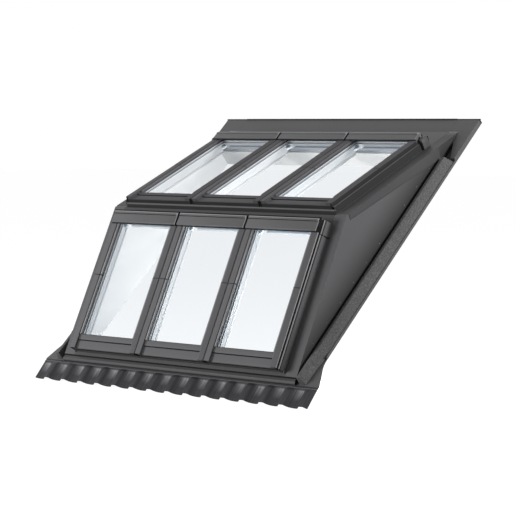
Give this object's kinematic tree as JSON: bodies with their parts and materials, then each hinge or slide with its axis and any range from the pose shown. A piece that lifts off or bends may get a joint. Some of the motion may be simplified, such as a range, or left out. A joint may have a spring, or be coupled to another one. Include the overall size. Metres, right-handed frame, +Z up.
{
  "type": "roof dormer with two rows of roof windows",
  "caption": "Roof dormer: two rows of pivot roof windows between triangular clad cheeks, with folded metal flashings, foam strips and a pleated apron.",
  "frame": {"origin": "on the roof deck at mid width, on the underside of the sill beam under the foot of the front slope", "axes": "+X runs across the dormer, +Y runs into the roof, +Z is up; the roof rises towards +Y at 41.4 degrees"},
  "size_m": [3.164, 2.5572, 2.3208],
  "materials": {
    "white_timber": "white painted pine",
    "glass": "clear double glazing",
    "window_metal": "matt anthracite coated aluminium",
    "flashing_metal": "matt anthracite coated aluminium sheet",
    "gutter_metal": "matt dark coated aluminium",
    "vent_metal": "satin anodised",
    "cheek_core": "insulated timber panel",
    "white_lining": "white painted board",
    "beam_timber": "white primed glued timber",
    "foam": "grey open-cell foam",
    "apron_metal": "pleated coated soft metal sheet"
  },
  "bodies": {
    "root": {"lower_left_frame": "white_timber", "lower_left_sash": "white_timber", "lower_left_glass": "glass", "lower_left_covers": "window_metal", "lower_middle_frame": "white_timber", "lower_middle_sash": "white_timber", "lower_middle_glass": "glass", "lower_middle_covers": "window_metal", "lower_right_frame": "white_timber", "lower_right_sash": "white_timber", "lower_right_glass": "glass", "lower_right_covers": "window_metal", "lower_hoods": "window_metal", "upper_left_frame": "white_timber", "upper_left_sash": "white_timber", "upper_left_glass": "glass", "upper_left_covers": "window_metal", "upper_middle_frame": "white_timber", "upper_middle_sash": "white_timber", "upper_middle_glass": "glass", "upper_middle_covers": "window_metal", "upper_right_frame": "white_timber", "upper_right_sash": "white_timber", "upper_right_glass": "glass", "upper_right_covers": "window_metal", "upper_hoods": "window_metal", "vent_bars": "vent_metal", "left_cheek": "cheek_core", "left_cheek_lining": "white_lining", "left_cheek_cladding": "flashing_metal", "left_side_flashing": "flashing_metal", "right_cheek": "cheek_core", "right_cheek_lining": "white_lining", "right_cheek_cladding": "flashing_metal", "right_side_flashing": "flashing_metal", "sill_beam": "beam_timber", "ridge_beam": "beam_timber", "head_beam": "beam_timber", "mullion_rafters": "white_timber", "mullion_gutters": "gutter_metal", "sill_flashing": "flashing_metal", "ridge_flashing": "flashing_metal", "head_flashing": "flashing_metal", "head_corner_pieces": "flashing_metal", "cheek_cappings": "flashing_metal", "foam_strips": "foam", "apron": "apron_metal"}
  },
  "joints": []
}
